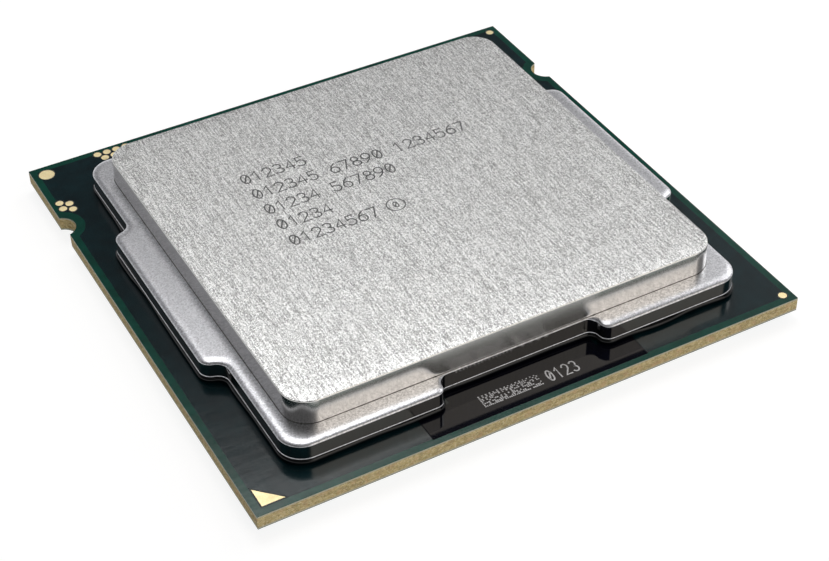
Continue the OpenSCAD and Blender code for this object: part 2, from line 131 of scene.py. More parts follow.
class Nodes:
    """A short way to build one material's node tree. Places are in millimetres."""

    def __init__(self, name):
        self.material = bpy.data.materials.new(name)
        self.material.use_nodes = True
        self.tree = self.material.node_tree
        self.shader = self.tree.nodes["Principled BSDF"]
        coordinates = self.add("ShaderNodeTexCoord")
        self.place = self.add("ShaderNodeVectorMath", operation="SCALE")
        self.link(coordinates.outputs["Object"], self.place.inputs[0])
        self.place.inputs["Scale"].default_value = 1 / MM
        self.mm = self.place.outputs[0]

    def add(self, kind, **settings):
        made = self.tree.nodes.new(kind)
        for key, value in settings.items():
            setattr(made, key, value)
        return made

    def link(self, out, into):
        self.tree.links.new(out, into)

    def put(self, value, socket):
        """Links a socket's output, or writes a plain number or colour."""
        if isinstance(value, bpy.types.NodeSocket):
            self.link(value, socket)
        elif isinstance(value, (tuple, list)) and len(value) == 3 and socket.type == "RGBA":
            socket.default_value = (*value, 1)
        else:
            socket.default_value = value

    def math(self, operation, a, b=0.0, clamp=False):
        made = self.add("ShaderNodeMath", operation=operation, use_clamp=clamp)
        self.put(a, made.inputs[0])
        self.put(b, made.inputs[1])
        return made.outputs[0]

    def stretch(self, scale, turn=0.0):
        """The place in millimetres, scaled along each axis and turned about Z."""
        made = self.add("ShaderNodeMapping")
        self.link(self.mm, made.inputs["Vector"])
        made.inputs["Scale"].default_value = scale
        made.inputs["Rotation"].default_value = (0, 0, math.radians(turn))
        return made.outputs[0]

    def noise(self, scale, detail=3.0, rough=0.55, place=None, distort=0.0):
        made = self.add("ShaderNodeTexNoise")
        self.link(place or self.mm, made.inputs["Vector"])
        made.inputs["Scale"].default_value = scale
        made.inputs["Detail"].default_value = detail
        made.inputs["Roughness"].default_value = rough
        made.inputs["Distortion"].default_value = distort
        return made.outputs["Fac"]

    def cells(self, place):
        """Random values from 0 to 1, one for each cell of a scattered pattern."""
        made = self.add("ShaderNodeTexVoronoi", voronoi_dimensions="2D")
        self.link(place, made.inputs["Vector"])
        made.inputs["Scale"].default_value = 1.0
        parts = self.add("ShaderNodeSeparateColor")
        self.link(made.outputs["Color"], parts.inputs[0])
        return parts.outputs[0]

    def ramp(self, value, low, high, to_low=0.0, to_high=1.0, smooth=False):
        made = self.add("ShaderNodeMapRange", interpolation_type="SMOOTHSTEP" if smooth else "LINEAR")
        self.put(value, made.inputs["Value"])
        for key, number in zip(("From Min", "From Max", "To Min", "To Max"), (low, high, to_low, to_high)):
            made.inputs[key].default_value = number
        return made.outputs[0]

    def mix(self, factor, a, b, blend="MIX"):
        made = self.add("ShaderNodeMix", data_type="RGBA", blend_type=blend)
        self.put(factor, made.inputs["Factor"])
        self.put(a, made.inputs["A"])
        self.put(b, made.inputs["B"])
        return made.outputs["Result"]

    def axis(self, name):
        made = self.add("ShaderNodeSeparateXYZ")
        self.link(self.mm, made.inputs[0])
        return made.outputs[name]

    def bump(self, height, depth_um, strength=1.0, under=None):
        """Bump of a height from 0 to 1, depth_um micrometres deep."""
        made = self.add("ShaderNodeBump")
        self.put(height, made.inputs["Height"])
        made.inputs["Distance"].default_value = depth_um * 1e-6
        made.inputs["Strength"].default_value = strength
        if under is not None:
            self.link(under, made.inputs["Normal"])
        return made.outputs[0]

    def set(self, **values):
        """Puts values on the shader's sockets: base_color, roughness and so on."""
        for key, value in values.items():
            socket = next(s for s in self.shader.inputs if s.name.lower().replace(" ", "_") == key)
            self.put(value, socket)
        return self.material


# ---------------------------------------------------------------- nickel

def brushed_nickel():
    """The plateau's top: crisp brush lines along Y, broken up by a sandy grain."""
    n = Nodes("nickel_brushed")
    hair = n.noise(1.0, 1, 0.5, n.stretch((9.5, 0.22, 1), 0.4))
    lines = n.cells(n.stretch((19, 1.4, 1), -0.5))
    grain = n.cells(n.stretch((22, 14, 1)))
    cloud = n.noise(0.16, 3, 0.5)
    texture = n.math("ADD", n.math("MULTIPLY", lines, 0.28), n.math("MULTIPLY", grain, 0.6))
    texture = n.math("ADD", texture, n.math("MULTIPLY", n.ramp(hair, 0.3, 0.7), 0.12))
    tone = n.mix(n.ramp(texture, 0.25, 0.75), (0.27, 0.268, 0.262), (1.0, 0.998, 0.985))
    tone = n.mix(n.ramp(cloud, 0.3, 0.7, 0.0, 0.08), tone, (0.55, 0.55, 0.56))
    rough = n.ramp(texture, 0.2, 0.8, 0.43, 0.36)
    bump = n.bump(n.noise(1.0, 2, 0.6, n.stretch((12, 0.8, 1), 0.6)), 4, 0.5)
    return n.set(base_color=tone, metallic=1.0, roughness=rough, normal=bump)


def satin_nickel():
    """The flange's top and edges: smoother plate with a fine sandy grain."""
    n = Nodes("nickel_satin")
    grain = n.cells(n.stretch((13, 12, 1)))
    soft = n.noise(9, 2, 0.6)
    texture = n.math("ADD", n.math("MULTIPLY", grain, 0.6), n.math("MULTIPLY", n.ramp(soft, 0.3, 0.7), 0.4))
    tone = n.mix(n.ramp(texture, 0.15, 0.85), (0.45, 0.45, 0.468), (0.79, 0.79, 0.814))
    rough = n.ramp(texture, 0.2, 0.8, 0.34, 0.29)
    bump = n.bump(soft, 1.5, 0.4)
    return n.set(base_color=tone, metallic=1.0, roughness=rough, normal=bump)


def wall_nickel():
    """The punched walls and the flange's sides: smooth plate with faint drawn lines, with painted shade in the crease
    at the wall's foot and the flange's sides painted darker as shade.
    """
    n = Nodes("nickel_wall")
    drawn = n.noise(1.0, 2, 0.6, n.stretch((14, 14, 0.9)))
    grain = n.noise(24, 2, 0.5)
    height = n.axis("Z")
    # Painted shade: a dark band in the crease where the wall meets the flange's top.
    foot = n.ramp(height, FLANGE_TOP / MM + 0.02, FLANGE_TOP / MM + 0.07, 1.0, 0.0, True)
    foot = n.math("MULTIPLY", foot, n.ramp(height, FLANGE_TOP / MM - 0.03, FLANGE_TOP / MM - 0.01, 0.0, 1.0))
    recess_half = RECESS_IN_W / 2 / MM
    in_recess = n.ramp(n.math("ABSOLUTE", n.axis("X")), recess_half + 0.4, recess_half + 1.4, 0.075, 0.0)
    above = n.ramp(height, FLANGE_TOP / MM - 0.1, FLANGE_TOP / MM, 0.0, 1.0)
    tone = n.mix(n.ramp(drawn, 0.3, 0.7), (0.64, 0.635, 0.615), (0.73, 0.725, 0.705))
    # Painted shade: below the flange's top, the flange's sides are mixed 30% towards near-black.
    tone = n.mix(n.ramp(above, 0.0, 1.0, 0.3, 0.0), tone, (0.1, 0.105, 0.115))
    tone = n.mix(n.math("MULTIPLY", foot, 0.9), tone, (0.05, 0.045, 0.04))
    rough = n.math("ADD", n.math("MULTIPLY", above, n.math("ADD", in_recess, 0.06)), 0.1)
    rough = n.math("ADD", rough, n.ramp(grain, 0.3, 0.7, -0.02, 0.02))
    bump = n.bump(drawn, 2, 0.25)
    return n.set(base_color=tone, metallic=1.0, roughness=rough, normal=bump)


def inner_nickel():
    """The spreader's underside, which the board and the sealant hide."""
    n = Nodes("nickel_inner")
    grain = n.noise(9, 3)
    return n.set(
        base_color=n.mix(grain, (0.5, 0.5, 0.5), (0.7, 0.7, 0.69)), metallic=1.0,
        roughness=n.ramp(grain, 0.3, 0.7, 0.35, 0.5), normal=n.bump(grain, 4, 0.4),
    )


# ---------------------------------------------------------------- board materials

def solder_mask(name):
    """Green mask: dark teal over the copper plane, green on the bare strip round it."""
    n = Nodes(name)
    x = n.math("ABSOLUTE", n.axis("X"))
    y = n.axis("Y")
    to_side = n.math("SUBTRACT", x, PLANE_HI.x / MM)
    to_end = n.math("SUBTRACT", n.math("ABSOLUTE", y), PLANE_HI.y / MM)
    notch_x = (BOARD_HI.x - NOTCH_DEPTH + NOTCH_R) / MM
    dx = n.math("SUBTRACT", x, notch_x)
    dy = n.math("SUBTRACT", y, NOTCH_Y / MM)
    reach = n.math("SQRT", n.math("ADD", n.math("MULTIPLY", dx, dx), n.math("MULTIPLY", dy, dy)))
    to_notch = n.math("SUBTRACT", (NOTCH_R + NOTCH_MARGIN) / MM, reach)
    off = n.math("MAXIMUM", n.math("MAXIMUM", to_side, to_end), to_notch)
    wander = n.math("MULTIPLY", n.math("SUBTRACT", n.noise(1.4, 2), 0.5), 0.05)
    off = n.math("ADD", off, wander)
    bare = n.ramp(off, -0.06, 0.05, 0.0, 1.0, True)
    cloud = n.noise(0.9, 4, 0.6)
    speck = n.noise(17, 2, 0.5)
    over_copper = n.mix(n.ramp(cloud, 0.35, 0.65), (0.0004, 0.011, 0.015), (0.0018, 0.021, 0.027))
    over_copper = n.mix(n.ramp(speck, 0.62, 0.75, 0.0, 0.35), over_copper, (0.02, 0.035, 0.036))
    green = n.mix(n.ramp(cloud, 0.35, 0.65), (0.0, 0.05, 0.034), (0.0, 0.074, 0.051))
    tone = n.mix(bare, over_copper, green)
    weave = n.math("ADD", n.noise(1.0, 1, 0.4, n.stretch((2.3, 0.5, 1))), n.noise(1.0, 1, 0.4, n.stretch((0.5, 2.3, 1))))
    bump = n.bump(n.math("MULTIPLY", weave, 0.5), 16, 0.32)
    bump = n.bump(speck, 1.4, 0.4, bump)
    bump = n.bump(bare, 12, -0.5, bump)
    rough = n.ramp(speck, 0.3, 0.7, 0.13, 0.2)
    return n.set(base_color=tone, roughness=rough, normal=bump)


def laminate():
    """Cut glass-epoxy edge: tan resin with bundles of fibre ends in thin layers."""
    n = Nodes("laminate_edge")
    layers = n.noise(1.0, 3, 0.6, n.stretch((1.2, 1.2, 13)))
    bundle = n.noise(1.0, 2, 0.5, n.stretch((3.4, 3.4, 5)))
    fibre = n.noise(1.0, 2, 0.7, n.stretch((8, 8, 12)))
    chip = n.noise(5, 4, 0.65)
    tone = n.mix(n.ramp(layers, 0.36, 0.64), (0.36, 0.27, 0.1), (0.56, 0.44, 0.19))
    tone = n.mix(n.ramp(bundle, 0.5, 0.62, 0.0, 0.6), tone, (0.68, 0.56, 0.29))
    tone = n.mix(n.ramp(bundle, 0.36, 0.45, 0.5, 0.0), tone, (0.27, 0.19, 0.075))
    tone = n.mix(n.ramp(fibre, 0.52, 0.68, 0.0, 0.7), tone, (0.78, 0.72, 0.52))
    tone = n.mix(n.ramp(fibre, 0.32, 0.44, 0.7, 0.0), tone, (0.13, 0.095, 0.04))
    tone = n.mix(n.ramp(chip, 0.54, 0.7, 0.0, 0.45), tone, (0.36, 0.37, 0.2))
    tone = n.mix(n.ramp(n.noise(1.7, 2, 0.5), 0.52, 0.68, 0.0, 0.5), tone, (0.56, 0.36, 0.19))
    bump = n.bump(fibre, 26, 0.5, n.bump(chip, 20, 0.35))
    return n.set(base_color=tone, roughness=n.ramp(chip, 0.3, 0.7, 0.68, 0.9), normal=bump)


def resin(name, low, high, rough):
    n = Nodes(name)
    grain = n.noise(8, 3)
    return n.set(
        base_color=n.mix(n.ramp(grain, 0.3, 0.7), low, high),
        roughness=n.ramp(grain, 0.3, 0.7, rough - 0.06, rough + 0.06), normal=n.bump(grain, 6, 0.4),
    )


def metal(name, low, high, rough, grain_scale=14, depth=4):
    """A plated or soldered metal with a fine even grain."""
    n = Nodes(name)
    grain = n.noise(grain_scale, 3, 0.6)
    patch = n.noise(2.5, 2, 0.5)
    tone = n.mix(n.ramp(grain, 0.3, 0.7), low, high)
    tone = n.mix(n.ramp(patch, 0.4, 0.7, 0.0, 0.25), tone, low)
    return n.set(
        base_color=tone, metallic=1.0, roughness=n.ramp(patch, 0.3, 0.7, rough - 0.06, rough + 0.08),
        normal=n.bump(grain, depth, 0.4),
    )


def marking_ink():
    """Black ink: smooth, glossy and slightly purple."""
    n = Nodes("marking_ink")
    cloud = n.noise(1.2, 3, 0.5)
    speck = n.noise(22, 2, 0.6)
    tone = n.mix(n.ramp(cloud, 0.3, 0.7), (0.0012, 0.0014, 0.005), (0.0026, 0.003, 0.0085))
    return n.set(
        base_color=tone, roughness=n.ramp(speck, 0.3, 0.7, 0.05, 0.08), specular_ior_level=0.29,
        normal=n.bump(speck, 0.6, 0.3, n.bump(cloud, 5, 0.15)),
    )


def silicone():
    """Black sealant: a smooth skin with slow waves and a few specks."""
    n = Nodes("sealant_black")
    wave = n.noise(1.6, 2, 0.45)
    speck = n.noise(19, 2, 0.6)
    tone = n.mix(n.ramp(speck, 0.6, 0.78), (0.003, 0.003, 0.0035), (0.02, 0.02, 0.021))
    return n.set(
        base_color=tone, roughness=n.ramp(wave, 0.3, 0.7, 0.12, 0.24), specular_ior_level=0.34,
        normal=n.bump(wave, 30, 0.4, n.bump(speck, 2, 0.3)),
    )


def mark(name, low, high, rough):
    """A laser mark or printed dot: uneven tone along its strokes."""
    n = Nodes(name)
    blotch = n.noise(7, 3, 0.6)
    return n.set(
        base_color=n.mix(n.ramp(blotch, 0.35, 0.65), low, high),
        roughness=n.ramp(blotch, 0.3, 0.7, rough - 0.08, rough + 0.08), normal=n.bump(blotch, 4, 0.4),
    )


def ceramic():
    n = Nodes("ceramic_body")
    grain = n.noise(11, 3, 0.6)
    layers = n.noise(1.0, 2, 0.5, n.stretch((2, 2, 26)))
    tone = n.mix(n.ramp(grain, 0.3, 0.7), (0.26, 0.17, 0.105), (0.36, 0.25, 0.16))
    tone = n.mix(n.ramp(layers, 0.5, 0.7, 0.0, 0.25), tone, (0.2, 0.13, 0.08))
    return n.set(base_color=tone, roughness=n.ramp(grain, 0.3, 0.7, 0.38, 0.52), normal=n.bump(grain, 3, 0.4))


MATERIALS = {
    "brushed": brushed_nickel(),
    "satin": satin_nickel(),
    "wall": wall_nickel(),
    "inner": inner_nickel(),
    "mask_top": solder_mask("solder_mask_top_side"),
    "mask_bottom": solder_mask("solder_mask_under_side"),
    "mask_rim": resin("solder_mask_rim", (0.0, 0.004, 0.005), (0.0, 0.009, 0.009), 0.3),
    "laminate": laminate(),
    "buildup": resin("buildup_resin", (0.36, 0.34, 0.24), (0.52, 0.49, 0.36), 0.6),
    "underfill": resin("underfill_resin", (0.05, 0.04, 0.03), (0.09, 0.07, 0.05), 0.5),
    "gold": metal("gold_plate", (0.86, 0.7, 0.38), (0.96, 0.85, 0.54), 0.42),
    "copper": metal("copper_plate", (0.7, 0.33, 0.2), (0.85, 0.45, 0.3), 0.4),
    "solder": metal("solder_metal", (0.6, 0.61, 0.63), (0.75, 0.76, 0.78), 0.32, 9, 7),
    "tin": metal("tin_plate", (0.62, 0.62, 0.62), (0.78, 0.78, 0.77), 0.42, 18, 5),
    "silicon": metal("silicon_polished", (0.2, 0.21, 0.24), (0.28, 0.29, 0.33), 0.15, 6, 1),
    "ink": marking_ink(),
    "sealant": silicone(),
    "ceramic": ceramic(),
    "lid_mark": mark("laser_mark_dark", (0.03, 0.03, 0.03), (0.12, 0.12, 0.119), 0.62),
    "ink_mark": mark("laser_mark_pale", (0.62, 0.615, 0.63), (0.86, 0.855, 0.87), 0.6),
}

CAD_FINISH = {
    "substrate_core": "laminate",
    "buildup_top": "buildup",
    "buildup_bottom": "buildup",
    "copper_plane_top": "copper",
    "copper_plane_bottom": "copper",
    "solder_mask_top": "mask_top",
    "solder_mask_bottom": "mask_bottom",
    "pin_one_marker": "gold",
    "fiducials": "gold",
    "test_pads_left": "gold",
    "test_pads_back": "gold",
    "silicon_die": "silicon",
    "solder_bumps": "solder",
    "underfill": "underfill",
    "thermal_solder": "solder",
    "lands_front": "gold",
    "lands_back": "gold",
    "lands_left": "gold",
    "lands_right": "gold",
    "large_capacitor_pads": "gold",
    "small_capacitor_pads": "gold",
}

for node_name, finish in CAD_FINISH.items():
    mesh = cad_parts[node_name].data
    mesh.materials.clear()
    mesh.materials.append(MATERIALS[finish])


# ---------------------------------------------------------------- mesh helpers

def new_piece(name, bm, materials, replaced=()):
    """Makes an object of a bmesh, rides it on the body and hides the CAD parts it stands for."""
    bmesh.ops.recalc_face_normals(bm, faces=bm.faces)
    data = bpy.data.meshes.new(name)
    bm.to_mesh(data)
    bm.free()
    for key in materials:
        data.materials.append(MATERIALS[key])
    piece = bpy.data.objects.new(name, data)
    bpy.context.scene.collection.objects.link(piece)
    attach(piece, "root")
    if replaced:
        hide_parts(*replaced)
    return piece


def smooth_by_area(piece):
    """Smooth shading whose normals follow the large faces next to each rounding."""
    data = piece.data
    sums = [Vector() for _ in data.vertices]
    for face in data.polygons:
        face.use_smooth = True
        for index in face.vertices:
            sums[index] += face.normal * (face.area / MM ** 2)
    data.normals_split_custom_set_from_vertices([total.normalized() for total in sums])


def ring(bm, points):
    """Vertices of one closed loop, from (x, y, z) points."""
    return [bm.verts.new(p) for p in points]


def join_rings(bm, low, high, material=0):
    """Quads between two loops of the same length."""
    count = len(low)
    for i in range(count):
        j = (i + 1) % count
        bm.faces.new((low[i], low[j], high[j], high[i])).material_index = material


def islands(node_name):
    """Corner points of each separate solid of a CAD node."""
    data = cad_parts[node_name].data
    bm = bmesh.new()
    bm.from_mesh(data)
    bmesh.ops.remove_doubles(bm, verts=bm.verts, dist=1e-7)
    seen, groups = set(), []
    for start in bm.verts:
        if start in seen:
            continue
        stack, group = [start], []
        seen.add(start)
        while stack:
            v = stack.pop()
            group.append(v.co.copy())
            for e in v.link_edges:
                other = e.other_vert(v)
                if other not in seen:
                    seen.add(other)
                    stack.append(other)
        groups.append(group)
    bm.free()
    return groups


# ---------------------------------------------------------------- heat spreader outline

ARC_STEPS = 10
CORNER_STEPS = 22


def arc(centre, r, start, end, steps):
    """Points along an arc, angles in degrees."""
    angles = [math.radians(start + (end - start) * i / steps) for i in range(steps + 1)]
    return [(centre[0] + r * math.cos(a), centre[1] + r * math.sin(a)) for a in angles]


def s_blend(p, q, axis):
    """Points of an S-shaped blend of two equal arcs, tangent to one axis at both ends."""
    run = abs(q[axis] - p[axis])
    step = abs(q[1 - axis] - p[1 - axis])
    r = (run * run + step * step) / (4 * step)
    sweep = 2 * math.atan2(step, run)
    along = math.copysign(1, q[axis] - p[axis])
    across = math.copysign(1, q[1 - axis] - p[1 - axis])
    angles = [sweep * i / ARC_STEPS for i in range(ARC_STEPS + 1)]
    local = [(r * math.sin(a), r * (1 - math.cos(a))) for a in angles]
    local += [(run - r * math.sin(a), step - r * (1 - math.cos(a))) for a in reversed(angles[:-1])]
    if axis == 0:
        return [(p[0] + along * u, p[1] + across * v) for u, v in local]
    return [(p[0] + across * v, p[1] + along * u) for u, v in local]


def flange_outline():
    """The flange's outline about the spreader's centre, counterclockwise, evenly dense at curves."""
    x = FLANGE_W / 2
    y = (LID_HI.y - LID_LO.y) / 2
    ear_x = (LID_HI.x - LID_LO.x) / 2
    recess_y = y - RECESS_DEPTH
    r = FLANGE_R
    right = (
        s_blend((RECESS_IN_W / 2, -recess_y), (RECESS_OUT_W / 2, -y), 0)
        + arc((x - r, r - y), r, -90, 0, CORNER_STEPS)
        + s_blend((x, EAR_SHIFT - EAR_ROOT / 2), (ear_x, EAR_SHIFT - EAR_LEN / 2), 1)
        + s_blend((ear_x, EAR_SHIFT + EAR_LEN / 2), (x, EAR_SHIFT + EAR_ROOT / 2), 1)
        + arc((x - r, y - r), r, 0, 90, CORNER_STEPS)
        + s_blend((RECESS_OUT_W / 2, y), (RECESS_IN_W / 2, recess_y), 0)
    )
    outline = right + [(-u, v) for u, v in reversed(right)]
    return split_long(outline)


def split_long(outline):
    """Adds points to long straights, closer together beside the plateau's corners."""
    near = (PLATEAU_W / 2 - PLATEAU_R - 0.3 * MM, PLATEAU_D / 2 - PLATEAU_R - 0.3 * MM)
    made = []
    for i, p in enumerate(outline):
        q = outline[(i + 1) % len(outline)]
        made.append(p)
        length = math.dist(p, q)
        pieces = max(1, round(length / (1.2 * MM)))
        if length > 0.3 * MM:
            pieces = max(pieces, round(length / (0.12 * MM))) if touches_corner(p, q, near) else pieces
        for k in range(1, pieces):
            t = k / pieces
            made.append((p[0] + (q[0] - p[0]) * t, p[1] + (q[1] - p[1]) * t))
    return made


def touches_corner(p, q, near):
    return any(abs(e[0]) > near[0] and abs(e[1]) > near[1] for e in (p, q))


def outward(outline):
    """Unit normals of a counterclockwise outline, one per point."""
    normals = []
    count = len(outline)
    for i in range(count):
        a, b = outline[i - 1], outline[(i + 1) % count]
        d = Vector((b[0] - a[0], b[1] - a[1])).normalized()
        normals.append((d.y, -d.x))
    return normals


def on_rounded_rectangle(p, half_w, half_d, r, inset=0.0):
    """The nearest point to p on a rectangle with round corners, drawn in by inset."""
    cx = max(-(half_w - r), min(half_w - r, p[0]))
    cy = max(-(half_d - r), min(half_d - r, p[1]))
    d = Vector((p[0] - cx, p[1] - cy)).normalized()
    return cx + d.x * (r - inset), cy + d.y * (r - inset)


OUTLINE = flange_outline()
NORMALS = outward(OUTLINE)
PLATEAU = [on_rounded_rectangle(p, PLATEAU_W / 2, PLATEAU_D / 2, PLATEAU_R) for p in OUTLINE]
CAVITY = [on_rounded_rectangle(p, CAVITY_SIDE / 2, CAVITY_SIDE / 2, CAVITY_R) for p in OUTLINE]
LEDGE = [math.dist(p, q) for p, q in zip(OUTLINE, PLATEAU)]


# ---------------------------------------------------------------- heat spreader

LIP_OUT = 0.03 * MM
LIP_H = 0.08 * MM
RIM_DROP = 0.17 * MM
RIM_REACH = 0.6 * MM
RIM_STEPS = 7
CREASE_R = 0.03 * MM
EDGE_R = 0.075 * MM
EDGE_STEPS = 6
PILLOW_DROP = 0.028 * MM
PILLOW_REACH = 1.3 * MM
PILLOW_STEPS = 7
WALL_LEAN = 0.03 * MM


def heat_spreader_shell():
    """The whole spreader as one closed mesh of loops, from the cavity out and up to the top."""
    inner, side, flat, wall, top = range(5)
    bm = bmesh.new()

    def at(points, z):
        heights = z if isinstance(z, list) else [z] * len(points)
        return ring(bm, [(LID_CENTRE.x + u, LID_CENTRE.y + v, h) for (u, v), h in zip(points, heights)])

    def grown(points, by):
        amounts = by if isinstance(by, list) else [by] * len(points)
        return [(u + nx * b, v + ny * b) for (u, v), (nx, ny), b in zip(points, NORMALS, amounts)]

    def between(t):
        return [(p[0] + (q[0] - p[0]) * t, p[1] + (q[1] - p[1]) * t) for p, q in zip(rim_end, PLATEAU)]

    base = LID_LO.z
    loops = [(at(CAVITY, base + CAVITY_DEPTH), inner), (at(CAVITY, base), inner)]
    loops.append((at(grown(OUTLINE, -0.02 * MM), base), inner))
    loops.append((at(grown(OUTLINE, LIP_OUT), base + 0.02 * MM), side))
    loops.append((at(grown(OUTLINE, LIP_OUT * 0.9), base + LIP_H * 0.55), side))
    loops.append((at(grown(OUTLINE, LIP_OUT * 0.25), base + LIP_H * 0.8), flat))
    loops.append((at(OUTLINE, base + LIP_H), flat))

    reach = [min(RIM_REACH, 0.62 * w) for w in LEDGE]
    drop = [min(RIM_DROP, 0.8 * r) for r in reach]
    for k in range(RIM_STEPS + 1):
        a = math.pi / 2 * k / RIM_STEPS
        moved = grown(OUTLINE, [-r * (1 - math.cos(a)) for r in reach])
        loops.append((at(moved, [FLANGE_TOP - d + d * math.sin(a) for d in drop]), flat if k else side))
    rim_end = grown(OUTLINE, [-r for r in reach])
    crease = [min(CREASE_R / max(w - r, CREASE_R), 0.6) for w, r in zip(LEDGE, reach)]
    loops.append((at(between(0.45), FLANGE_TOP), flat))
    for k in range(4):
        a = math.pi / 2 * k / 3
        points = [
            (q[0] + (p[0] - q[0]) * c * (1 - math.sin(a)), q[1] + (p[1] - q[1]) * c * (1 - math.sin(a)))
            for p, q, c in zip(rim_end, PLATEAU, crease)
        ]
        loops.append((at(points, FLANGE_TOP + CREASE_R * (1 - math.cos(a))), wall if k else flat))

    def plateau(inset):
        return [on_rounded_rectangle(p, PLATEAU_W / 2, PLATEAU_D / 2, PLATEAU_R, inset) for p in OUTLINE]

    edge_z = LID_HI.z - PILLOW_DROP - EDGE_R
    loops.append((at(plateau(WALL_LEAN * 0.5), (FLANGE_TOP + edge_z) / 2), wall))
    for k in range(EDGE_STEPS + 1):
        a = math.pi / 2 * k / EDGE_STEPS
        inset = WALL_LEAN + EDGE_R * (1 - math.cos(a))
        loops.append((at(plateau(inset), edge_z + EDGE_R * math.sin(a)), wall if k < 5 else top))
    for k in range(1, PILLOW_STEPS + 1):
        t = k / PILLOW_STEPS
        inset = WALL_LEAN + EDGE_R + (PILLOW_REACH - WALL_LEAN - EDGE_R) * t
        loops.append((at(plateau(inset), LID_HI.z - PILLOW_DROP * (1 - t) ** 2), top))
    for (low, _), (high, material) in zip(loops, loops[1:]):
        join_rings(bm, low, high, material)
    bm.faces.new(loops[-1][0]).material_index = top
    bm.faces.new(list(reversed(loops[0][0]))).material_index = inner

    piece = new_piece(
        "heat_spreader_shell", bm, ["inner", "wall", "satin", "wall", "brushed"], ["heat_spreader"])
    smooth_by_area(piece)
    return piece


heat_spreader_shell()


# ---------------------------------------------------------------- sealant bead

SEALANT_BULGE = 0.26 * MM
SEALANT_W = 1.7 * MM
VENT_W = 3 * MM


def sealant_bead():
    """A squeezed bead under the flange: it bulges past the edge in places and stops at the vent."""
    bm = bmesh.new()
    low, high = MASK_TOP, LID_LO.z
    height = high - low
    inside = [i for i, p in enumerate(OUTLINE) if not (p[1] > 0 and abs(p[0]) < VENT_W / 2)]
    start = max(range(len(inside)), key=lambda k: (inside[k] - inside[k - 1]) % len(OUTLINE))
    order = inside[start:] + inside[:start]
    profile = [(0.0, -0.35), (0.08, -0.05), (0.2, 0.55), (0.4, 0.95), (0.6, 1.0), (0.78, 0.8), (0.92, 0.3), (1.0, -0.25)]
    rows = []
    for k in order:
        (u, v), (nx, ny) = OUTLINE[k], NORMALS[k]
        swell = 0.75 + 0.8 * noise.noise(Vector((u, v, 0)) * 260)
        swell = max(0.3, min(1.2, swell))
        row = []
        for h, out in profile:
            by = SEALANT_BULGE * swell * out - 0.06 * MM
            row.append((LID_CENTRE.x + u + nx * by, LID_CENTRE.y + v + ny * by, low + height * h))
        for h in (1.0, 0.5, 0.0):
            by = -SEALANT_W - 0.1 * MM * math.sin(math.pi * h)
            row.append((LID_CENTRE.x + u + nx * by, LID_CENTRE.y + v + ny * by, low + height * h))
        rows.append([bm.verts.new(p) for p in row])
    for a, b in zip(rows, rows[1:]):
        join_rings(bm, a, b)
    bm.faces.new(rows[0])
    bm.faces.new(list(reversed(rows[-1])))
    piece = new_piece("sealant_bead", bm, ["sealant"], ["lid_sealant"])
    for face in piece.data.polygons:
        face.use_smooth = True
    return piece


sealant_bead()


# ---------------------------------------------------------------- ink patch and marks

INK_SLOPE = 0.05 * MM
INK_THICK = 0.02 * MM


def ink_pad():
    """The ink patch with sloped sides, up to the bead under the spreader."""
    bm = bmesh.new()
    back = LID_LO.y + RECESS_DEPTH + 0.4 * MM
    middle = RECESS_IN_W / 2 + 0.3 * MM
    step = LID_LO.y + 0.4 * MM
    outline = [
        (INK_LO.x, INK_LO.y), (INK_HI.x, INK_LO.y), (INK_HI.x, step), (LID_CENTRE.x + middle, step),
        (LID_CENTRE.x + middle, back), (LID_CENTRE.x - middle, back), (LID_CENTRE.x - middle, step), (INK_LO.x, step),
    ]
    slope = INK_SLOPE
    shrunk = [
        (INK_LO.x + slope, INK_LO.y + slope), (INK_HI.x - slope, INK_LO.y + slope), (INK_HI.x - slope, step),
        *outline[3:7], (INK_LO.x + slope, step),
    ]
    under = ring(bm, [(x, y, MASK_TOP - 0.004 * MM) for x, y in outline])
    foot = ring(bm, [(x, y, MASK_TOP + 0.003 * MM) for x, y in outline])
    crown = ring(bm, [(x, y, MASK_TOP + INK_THICK) for x, y in shrunk])
    join_rings(bm, under, foot)
    join_rings(bm, foot, crown)
    bm.faces.new(crown)
    bm.faces.new(list(reversed(under)))
    return new_piece("ink_pad", bm, ["ink"], ["ink_patch"])


def ellipse(cx, cy, rx, ry, start, end, steps=14):
    angles = [math.radians(start + (end - start) * i / steps) for i in range(steps + 1)]
    return [(cx + rx * math.cos(a), cy + ry * math.sin(a)) for a in angles]


# Single-stroke digits in a cell 0.62 wide and 1 high
DIGITS = {
    "0": [ellipse(0.31, 0.5, 0.28, 0.5, 0, 360, 20), [(0.14, 0.2), (0.48, 0.8)]],
    "1": [[(0.1, 0.76), (0.34, 1.0), (0.34, 0.0)]],
    "2": [ellipse(0.31, 0.71, 0.28, 0.29, 165, -35) + [(0.02, 0.0), (0.6, 0.0)]],
    "3": [ellipse(0.28, 0.76, 0.26, 0.24, 150, -90), ellipse(0.28, 0.26, 0.31, 0.26, 90, -150)],
    "4": [[(0.46, 0.0), (0.46, 1.0), (0.02, 0.3), (0.62, 0.3)]],
    "5": [[(0.56, 1.0), (0.1, 1.0), (0.07, 0.56)] + ellipse(0.28, 0.32, 0.31, 0.32, 125, -150)],
    "6": [[(0.5, 1.0), (0.22, 0.78)] + ellipse(0.31, 0.31, 0.29, 0.31, 155, 515, 22)],
    "7": [[(0.02, 1.0), (0.6, 1.0), (0.2, 0.0)]],
    "8": [ellipse(0.31, 0.76, 0.23, 0.24, -90, 270, 18), ellipse(0.31, 0.26, 0.29, 0.26, 90, 450, 18)],
    "9": [[(0.12, 0.0), (0.4, 0.22)] + ellipse(0.31, 0.69, 0.29, 0.31, -25, 335, 22)],
}


